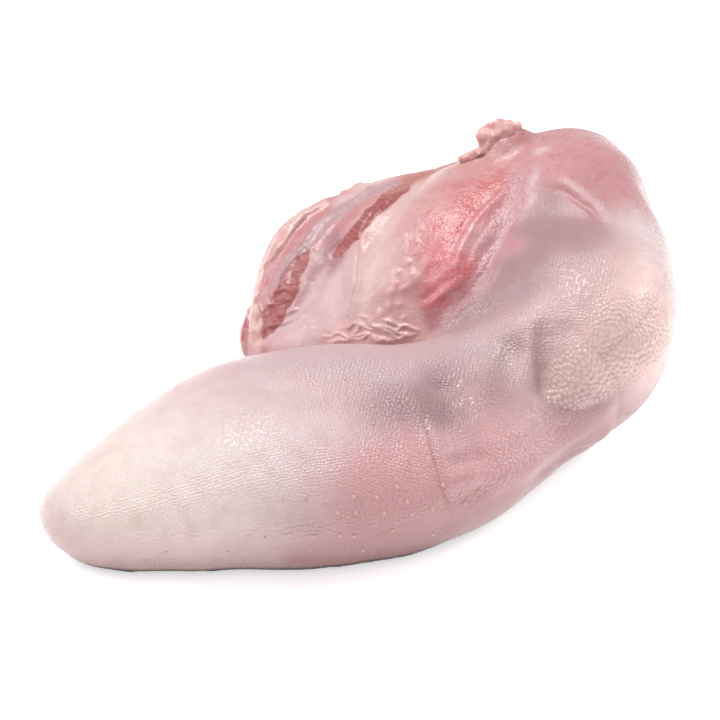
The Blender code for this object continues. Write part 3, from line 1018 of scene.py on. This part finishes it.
class Paint:
    """Builds the nodes of one material."""

    def __init__(self, name):
        self.material = bpy.data.materials.new(name)
        self.material.use_nodes = True
        self.tree = self.material.node_tree
        self.shader = self.tree.nodes["Principled BSDF"]
        self.place = self.node("ShaderNodeTexCoord", {}, "Object")

    def fill(self, node, inputs):
        """Gives inputs, by name or number, a plain value or another node's output."""
        for name, value in inputs.items():
            if isinstance(value, bpy.types.NodeSocket):
                self.tree.links.new(value, node.inputs[name])
            else:
                node.inputs[name].default_value = value

    def node(self, kind, inputs, output=0, **settings):
        """One output of a new node."""
        made = self.tree.nodes.new(kind)
        for name, value in settings.items():
            setattr(made, name, value)
        self.fill(made, inputs)
        return made.outputs[output]

    def mask(self, name):
        """A mask that the mesh holds."""
        return self.node("ShaderNodeAttribute", {}, "Fac", attribute_name=name)

    def noise(self, size, detail=2.0, vector=None, roughness=0.5, distortion=0.0, output="Fac"):
        """Noise whose waves are about size millimetres long."""
        return self.node("ShaderNodeTexNoise", {
            "Vector": vector or self.place, "Scale": 1 / (size * MM), "Detail": detail,
            "Roughness": roughness, "Distortion": distortion}, output)

    def edges(self, size):
        """Distance from the edges between cells of this size."""
        return self.node("ShaderNodeTexVoronoi", {"Vector": self.place, "Scale": 1 / (size * MM)},
                         "Distance", feature="DISTANCE_TO_EDGE")

    def drifting(self, size, reach):
        """The place moved about by waves of this size."""
        waves = self.noise(size, 0.0, output="Color")
        return self.node("ShaderNodeVectorMath", {0: waves, 1: (reach * MM,) * 3, 2: self.place},
                         operation="MULTIPLY_ADD")

    def on_plane(self, vector, normal, turn=0, lengthen=1.0):
        """Coordinates on a plane with this normal, turned in it and drawn out along the turn."""
        upright = Vector(normal).to_track_quat("Z", "Y") @ Quaternion((0, 0, 1), math.radians(turn))
        return self.node("ShaderNodeMapping", {
            "Vector": vector, "Rotation": upright.to_euler(), "Scale": (lengthen, 1, 1)},
            vector_type="TEXTURE")

    def dots(self, vector, size, randomness):
        """Rounded dots this far apart on a plane, from 0 between them to 1."""
        apart = self.node("ShaderNodeTexVoronoi", {
            "Vector": vector, "Scale": 1 / (size * MM), "Randomness": randomness},
            "Distance", feature="F1", voronoi_dimensions="2D")
        return self.remap(apart, 0.05, 0.62, 1.0, 0.0)

    def result(self, operation, first, second):
        """One sum on two values, such as ADD or MAXIMUM."""
        return self.node("ShaderNodeMath", {0: first, 1: second}, operation=operation)

    def plus(self, *values):
        """The values added up, from the first to the last."""
        total = values[0]
        for value in values[1:]:
            total = self.result("ADD", total, value)
        return total

    def times(self, first, second):
        return self.result("MULTIPLY", first, second)

    def remap(self, value, low, high, to_low=0.0, to_high=1.0):
        """A soft step from one value at the low end to another at the high end."""
        return self.node("ShaderNodeMapRange", {
            "Value": value, "From Min": low, "From Max": high, "To Min": to_low, "To Max": to_high},
            "Result", interpolation_type="SMOOTHSTEP")

    def mix(self, share, first, second):
        """The first colour with the second mixed over it by a share."""
        return self.node("ShaderNodeMix", {"Factor": share, "A": first, "B": second}, "Result",
                         data_type="RGBA")

    def tint(self, base, tone, share, amount):
        """Mixes a tone over the base, by this amount of its share."""
        return self.mix(self.times(share, amount), base, tone)

    def vector(self, x, y, z):
        return self.node("ShaderNodeCombineXYZ", {0: x, 1: y, 2: z})

    def part(self, axis):
        """One coordinate of the place, in metres."""
        return self.node("ShaderNodeSeparateXYZ", {0: self.place}, axis)

    def bump(self, height, depth):
        """Raises the surface by height times depth millimetres, as light sees it."""
        normal = self.node("ShaderNodeBump", {
            "Distance": depth * MM, "Strength": 1.0, "Height": height}, "Normal")
        self.fill(self.shader, {"Normal": normal, "Coat Normal": normal})

    def tissue(self, tone, roughness, depth):
        """Gives the tissue its colour, gloss and the depth to which light enters it."""
        self.fill(self.shader, {
            "Base Color": self.mix(1 - TISSUE_SHARE, tone, BLACK), "Roughness": roughness,
            "Subsurface Weight": 0.25, "Subsurface Scale": depth * MM})


SKIN_COLOURS = {
    "cream": (258, 240, 230),
    "pale": (262, 242, 242),
    "flush": (238, 170, 174),
    # partly the dents' own mauve, partly painted shade in them
    "mauve_dent_shade": (176, 130, 136),
    # painted shade in the fossa
    "fossa_shade": (184, 141, 142),
    "grey": (212, 179, 184),
    # partly the hollows' own mauve, partly painted shade in them
    "hollow_shade": (172, 130, 135),
    "rosy": (214, 146, 149),
    "warty": (258, 220, 214),
    "bottom": (244, 210, 202),
    "lilac": (226, 196, 196),
    "beige": (224, 192, 186),
    # painted light on the top of the warty swelling
    "lit_warty_top": (276, 232, 226),
    "upper_rose": (226, 190, 193),
    "low_light": (284, 252, 246),
    # the flush, painted darker as shade low on the flank
    "low_flush_shade": (172, 98, 102),
    "mid_rose": (220, 182, 180),
    # partly the dents' own mauve, partly painted shade in them
    "dusk_dent_shade": (156, 113, 119),
    "low_right": (246, 202, 200),
    "mid_pink": (244, 200, 203),
    "ridge": (196, 160, 158),
    "red_patch": (212, 142, 150),
    # painted highlight along the edge of the bare flesh
    "painted_sheen": (238, 204, 212),
}
SKIN_PINK = colour(222, 182, 186)
FLESH_COLOURS = {
    "gland_cream": (236, 198, 192),
    "gland_pink": (220, 158, 158),
    "red": (226, 112, 118),
    "salmon": (214, 106, 106),
    "fold_pink": (240, 174, 180),
    "band": (204, 146, 153),
    "fascia": (228, 189, 192),
    "frill_pink": (252, 202, 200),
    "film": (236, 200, 200),
    "film_shade": (178, 120, 124),
    "brown": (216, 152, 144),
}
FLESH_PINK = colour(214, 144, 146)
PALE_NODULE_GLINT = colour(252, 204, 200)
PALE_FILM = colour(240, 214, 214)
MUSCLE_DARK = colour(170, 78, 76)
MUSCLE_LIGHT = colour(214, 150, 146)
MUSCLE_BROWN = colour(198, 132, 122)
MEMBRANE = colour(240, 218, 218)
SILVER = colour(198, 158, 164)
FAT = colour(240, 200, 192)
FAT_PINK = colour(230, 174, 168)
CUT_RED = colour(160, 70, 70)
CUT_FAT = colour(238, 212, 196)
WART_TIP = colour(244, 216, 206)
PAPILLA_TIP = colour(248, 230, 228)
CREASE_SHADE = colour(188, 144, 134)
FOLD_RED = colour(204, 116, 120)
MOTTLE_RED = colour(200, 122, 126)
SKIN_PATCH = colour(216, 160, 162)
CORNER_RED = colour(198, 90, 98)
UNDERSIDE_SHADE = colour(168, 122, 122)
FOOT_SHADOW = colour(28, 16, 12)

DOT_PITCH = 1.15           # from one fine papilla to the next
BUNDLE_SIZE = 9            # of the muscle bundles on the cut face
FOOT_DARK = 2.2            # the painted contact shadow at the foot is darkest below this height, and clear above the next
FOOT_CLEAR = 4.0
COAT = 0.6                 # how wet the skin is


def blended(paint, base, colours):
    """The base colour with each named colour mixed over it by its share."""
    for name, tone in colours.items():
        base = paint.mix(paint.mask(name), base, colour(*tone))
    return base


def papilla_height(paint):
    """Fine papillae in even rows: round towards the tip, drawn out along the rest."""
    drift = paint.drifting(20, 3)
    sides = PATTERN_SIDES
    round_dots = paint.dots(paint.on_plane(drift, sides["front_top"], 12), DOT_PITCH, 0.5)
    long_dots = paint.dots(paint.on_plane(drift, sides["front_top"], -12, 1.25), DOT_PITCH, 0.55)
    dotted = paint.remap(paint.plus(paint.mask("cream"), paint.mask("pale")), 0.2, 0.6)
    front = paint.plus(paint.times(long_dots, paint.result("SUBTRACT", 1.0, dotted)),
                       paint.times(round_dots, dotted))
    total = paint.times(front, paint.mask("front_top"))
    turned = {"right": (-10, 1.7), "left": (0, 1.0), "back_top": (0, 1.0)}
    for name, (turn, lengthen) in turned.items():
        dots = paint.dots(paint.on_plane(drift, sides[name], turn, lengthen), DOT_PITCH, 0.8)
        total = paint.plus(total, paint.times(dots, paint.mask(name)))
    return total


def skin_material():
    """Papillated skin over the back of the tongue, and bare flesh, fat and fibres at its root."""
    paint = Paint("tongue_skin")
    patchy = paint.noise(7, 3)
    fleck = paint.noise(1.6, 2)
    flesh_share = paint.remap(paint.mask("flesh"), 0.15, 0.85)
    bare = paint.result("MAXIMUM", flesh_share, paint.mask("cut"))

    papillae = papilla_height(paint)
    no_papillae = paint.result("MAXIMUM", bare, paint.mask("smooth"))
    papillae = paint.times(papillae, paint.result("SUBTRACT", 1.0, no_papillae))
    small = paint.remap(paint.mask("wart_zone"), 0.5, 0.7, 1.0, 0.15)
    papillae = paint.times(papillae, small)

    skin = blended(paint, SKIN_PINK, SKIN_COLOURS)
    skin = paint.tint(skin, SKIN_PATCH, paint.remap(patchy, 0.45, 0.75), 0.22)
    skin = paint.tint(skin, PAPILLA_TIP, papillae, 0.24)
    skin = paint.tint(skin, WART_TIP, paint.remap(paint.mask("warts"), 0.05, 0.5), 0.7)
    # partly the creases' own tone, partly painted shade in them
    skin = paint.tint(skin, CREASE_SHADE, paint.mask("crease_shade"), 0.4)
    skin = paint.tint(skin, FOLD_RED, paint.mask("red_fold"), 0.45)
    veins = paint.remap(paint.noise(4, 4, distortion=0.8), 0.48, 0.68)
    skin = paint.tint(skin, MOTTLE_RED, veins, paint.times(paint.mask("rosy"), 0.6))

    flesh = blended(paint, FLESH_PINK, FLESH_COLOURS)
    # pale nodules of the gland: partly their own tone, partly painted glints on them
    flesh = paint.tint(flesh, PALE_NODULE_GLINT, paint.mask("nodules"), 0.55)
    flesh = paint.tint(flesh, PALE_FILM, paint.remap(patchy, 0.45, 0.75), 0.25)
    flesh = paint.tint(flesh, PALE_FILM, paint.remap(fleck, 0.54, 0.76), 0.25)

    fibre_run = paint.times(paint.mask("fibre_run"), MM)
    fibre_space = paint.vector(fibre_run, paint.times(paint.part("X"), 0.3),
                               paint.times(paint.part("Z"), 0.3))
    fibres = paint.noise(1.3, 2, fibre_space)
    muscle = paint.mix(paint.remap(fibres, 0.42, 0.8, 0.0, 0.6), MUSCLE_DARK, MUSCLE_LIGHT)
    muscle = paint.mix(paint.remap(paint.mask("brown"), 0.1, 0.5), muscle, MUSCLE_BROWN)
    flesh = paint.mix(paint.mask("muscle"), flesh, muscle)
    silver = paint.mix(paint.remap(fibres, 0.45, 0.8, 0.0, 0.5), SILVER, PALE_FILM)
    flesh = paint.tint(flesh, silver, paint.mask("silver"), 0.85)
    flesh = paint.tint(flesh, MEMBRANE, paint.mask("membrane"), 0.45)
    fat = paint.mix(paint.remap(patchy, 0.4, 0.65), FAT, FAT_PINK)
    flesh = paint.mix(paint.mask("fat"), flesh, fat)
    flesh = paint.mix(paint.mask("corner"), flesh, CORNER_RED)

    base = paint.mix(flesh_share, skin, flesh)
    cut = paint.mix(paint.remap(paint.edges(BUNDLE_SIZE), 0.03, 0.14), CUT_FAT, CUT_RED)
    cut = paint.tint(cut, MUSCLE_LIGHT, paint.remap(fleck, 0.5, 0.7), 0.5)
    base = paint.mix(paint.remap(paint.mask("cut"), 0.35, 0.65), base, cut)
    # painted shade on the underside, over its own darker mauve
    base = paint.tint(base, UNDERSIDE_SHADE, paint.mask("under"), 0.5)
    # painted contact shadow, with a dark wet line, where the tongue rests on the floor
    foot = paint.remap(paint.part("Z"), FOOT_DARK * MM, FOOT_CLEAR * MM, 0.95, 0.0)
    base = paint.mix(foot, base, FOOT_SHADOW)

    wet = paint.times(paint.mask("wet"), bare)
    flesh_height = paint.times(paint.noise(1.5, 3), paint.plus(bare, wet))
    wrinkles = paint.times(paint.noise(1.1, 2, roughness=0.6), paint.mask("smooth"))
    fibre_height = paint.times(fibres, paint.mask("muscle"))
    height = paint.plus(papillae, paint.plus(flesh_height, fibre_height), wrinkles)
    paint.bump(height, 0.2)

    rough_skin = paint.remap(patchy, 0.3, 0.7, 0.48, 0.58)
    paint.tissue(base, paint.result("SUBTRACT", rough_skin, paint.times(bare, 0.1)), 2.5)
    dull = paint.result("MAXIMUM", paint.mask("smooth"), paint.result("SUBTRACT", bare, wet))
    less = paint.plus(paint.times(dull, 0.25), paint.times(wet, 0.15))
    paint.fill(paint.shader, {
        "Subsurface Radius": (1.0, 0.45, 0.35), "Specular IOR Level": 0.45,
        "Coat Weight": paint.result("SUBTRACT", COAT, less),
        "Coat Roughness": paint.remap(dull, 0.1, 0.6, 0.12, 0.24)})
    return paint.material


def papilla_material():
    """The pale domes scattered over the skin."""
    paint = Paint("papilla_dome")
    tone = paint.mix(paint.noise(0.8, 2), colour(234, 184, 176), colour(242, 204, 192))
    paint.tissue(tone, 0.38, 1.5)
    paint.bump(paint.noise(0.5, 1), 0.05)
    return paint.material


def ragged_material():
    """Torn salmon-coloured tissue on top of the root."""
    paint = Paint("ragged_tissue")
    patchy = paint.noise(3, 3)
    tone = paint.mix(paint.remap(patchy, 0.35, 0.65), colour(248, 172, 169), colour(256, 204, 199))
    tone = paint.tint(tone, PALE_FILM, paint.remap(paint.noise(1.2, 2), 0.5, 0.7), 0.5)
    paint.tissue(tone, 0.3, 2.5)
    paint.bump(paint.noise(1.3, 3), 0.4)
    return paint.material


FLOOR_GLOW = 0.55


def floor_material():
    """A plain pale matt surface, lit a little from below."""
    paint = Paint("pale_floor")
    tone = paint.mix(paint.noise(180, 2), colour(249, 248, 248), colour(252, 251, 251))
    paint.fill(paint.shader, {
        "Base Color": tone, "Roughness": 0.8, "Emission Color": (1, 0.99, 1, 1),
        "Emission Strength": FLOOR_GLOW})
    return paint.material


# ------------------------------------------------------------------------------------- the pieces
def add(name, mesh, material):
    """Puts a mesh into the scene."""
    piece = bpy.data.objects.new(name, mesh)
    mesh.materials.append(material)
    bpy.context.scene.collection.objects.link(piece)
    return piece


def dress(name, mesh, material):
    """A piece of the tongue, which rides with its solid."""
    piece = add(name, mesh, material)
    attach(piece, "root")
    return piece


skin = dress("skin", fine_skin(), skin_material())
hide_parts("tongue")

# Pale domes: a pixel, and a radius.
DOMES = [
    (305, 497, 1.0), (282, 500, 0.8), (327, 501, 0.8), (341, 487, 0.8), (354, 497, 0.9), (377, 498, 0.9),
    (397, 487, 1.0), (338, 513, 0.8), (356, 513, 0.9), (384, 513, 0.9), (407, 502, 0.9), (412, 514, 0.8),
    (432, 509, 0.9), (443, 485, 1.0), (392, 530, 0.8), (354, 536, 0.8), (340, 535, 0.8), (314, 536, 0.8),
    (289, 534, 0.8), (265, 538, 0.8), (311, 520, 0.7), (373, 424, 0.7), (372, 406, 0.7), (348, 411, 0.7),
    (345, 379, 0.7), (396, 384, 0.7), (363, 550, 0.8), (433, 534, 0.9), (228, 552, 0.8), (167, 552, 0.8),
    (465, 503, 0.8), (478, 491, 0.8), (461, 494, 0.7),
]
DOME_HEIGHT = 0.62         # of a radius


def dome_mesh():
    """Low domes set into the finished skin where the camera sees them."""
    surface = BVHTree.FromPolygons([v.co for v in skin.data.vertices],
                                   [f.vertices for f in skin.data.polygons])
    solid = bmesh.new()
    chance = np.random.default_rng(SEED + 2)
    eye = Vector((EYE + CENTRE_SHIFT) * MM)
    for x, y, radius in DOMES:
        place, normal, _, _ = surface.ray_cast(eye, Vector(photo_rays([(x, y)])[0]))
        if place is None:
            continue
        wide, long = radius * chance.uniform(0.76, 1.0, 2)
        turn = normal.to_track_quat("Z", "Y").to_matrix().to_4x4()
        size = Matrix.Diagonal((wide * MM, long * MM, DOME_HEIGHT * radius * MM, 1))
        bmesh.ops.create_icosphere(solid, subdivisions=3, radius=1,
                                   matrix=Matrix.Translation(place) @ turn @ size)
    mesh = bpy.data.meshes.new("papillae")
    solid.to_mesh(mesh)
    solid.free()
    mesh.shade_smooth()
    return mesh


dress("papillae", dome_mesh(), papilla_material())

# Torn tissue on top of the root: a pixel, how far back it lies, and a radius.
LOBES = [
    (483, 133, 84, 2.4), (490, 127, 85, 2.2), (499, 124, 84, 2.3), (508, 125, 85, 1.9), (517, 127, 84, 2.1),
    (489, 138, 83, 2.9), (499, 134, 82, 2.6), (509, 134, 83, 2.8), (519, 135, 83, 2.4), (494, 145, 82, 3.0),
    (506, 143, 82, 3.2), (517, 141, 83, 2.2), (484, 142, 83, 2.4), (486, 149, 82, 2.6), (495, 152, 81, 2.4),
    (469, 157, 83, 1.9), (463, 160, 83, 1.5), (476, 153, 83, 1.7), (480, 153, 82, 1.7),
]
LOBE_CELL = 0.7
LOBE_BLEND = 1.8


def at_depth(x, y, depth):
    """The point where the camera's ray through a pixel is this far back."""
    ray = photo_rays([(x, y)])[0]
    return EYE + ray * (depth - EYE[1]) / ray[1]


LOBE_PLACES = np.array([at_depth(x, y, depth) for x, y, depth, _ in LOBES])


def ragged(points):
    """Distance outside the torn tissue."""
    writhing = warped(points, 3.2, 1.3)
    total = np.full(len(points), 99.0)
    for place, (_, _, _, radius) in zip(LOBE_PLACES, LOBES):
        total = smooth_union(total, np.linalg.norm(writhing - place, axis=1) - radius, LOBE_BLEND)
    return total


def ragged_mesh():
    mesh = field_mesh("ragged", ragged, LOBE_PLACES.min(0) - 6, LOBE_PLACES.max(0) + 6, LOBE_CELL)
    put(mesh, (coordinates(mesh) + CENTRE_SHIFT) * MM)
    mesh.shade_smooth()
    return mesh


dress("ragged", ragged_mesh(), ragged_material())

# -------------------------------------------------------------------------- floor, light, camera
FLOOR_HALF = 3.0
LAMP_AIM = (0, 0, 0.04)
SENSOR = 36


def make_floor():
    mesh = bpy.data.meshes.new("floor")
    corners = [(-1, -1), (1, -1), (1, 1), (-1, 1)]
    mesh.from_pydata([(x * FLOOR_HALF, y * FLOOR_HALF, 0) for x, y in corners], [], [(0, 1, 2, 3)])
    add("floor", mesh, floor_material())


def softbox(name, place, size, power):
    """A square lamp that shines on the tongue."""
    lamp = bpy.data.lights.new(name, "AREA")
    lamp.energy = power
    lamp.size = size
    light = bpy.data.objects.new(name, lamp)
    bpy.context.scene.collection.objects.link(light)
    light.location = place
    light.rotation_mode = "QUATERNION"
    light.rotation_quaternion = (Vector(LAMP_AIM) - Vector(place)).to_track_quat("-Z", "Y")


def make_world(strength):
    world = bpy.data.worlds.new("studio")
    world.use_nodes = True
    background = world.node_tree.nodes["Background"]
    background.inputs["Color"].default_value = (1, 1, 1, 1)
    background.inputs["Strength"].default_value = strength
    bpy.context.scene.world = world


def make_camera():
    camera = bpy.data.cameras.new("camera")
    camera.sensor_width = SENSOR
    camera.lens = SENSOR * FOCAL_PX / PHOTO_SIDE
    holder = bpy.data.objects.new("camera", camera)
    bpy.context.scene.collection.objects.link(holder)
    holder.location = (EYE + CENTRE_SHIFT) * MM
    holder.rotation_mode = "QUATERNION"
    holder.rotation_quaternion = Vector(FORWARD).to_track_quat("-Z", "Y")
    bpy.context.scene.camera = holder


make_floor()
softbox("overhead", (-0.25, 0.15, 1.0), 0.4, 8.0)
softbox("left", (-1.0, 0.1, 0.75), 0.5, 4.4)
softbox("right", (1.0, 0.25, 0.6), 0.5, 5.2)
make_world(0.5)
make_camera()
bpy.context.scene.view_settings.view_transform = "Standard"
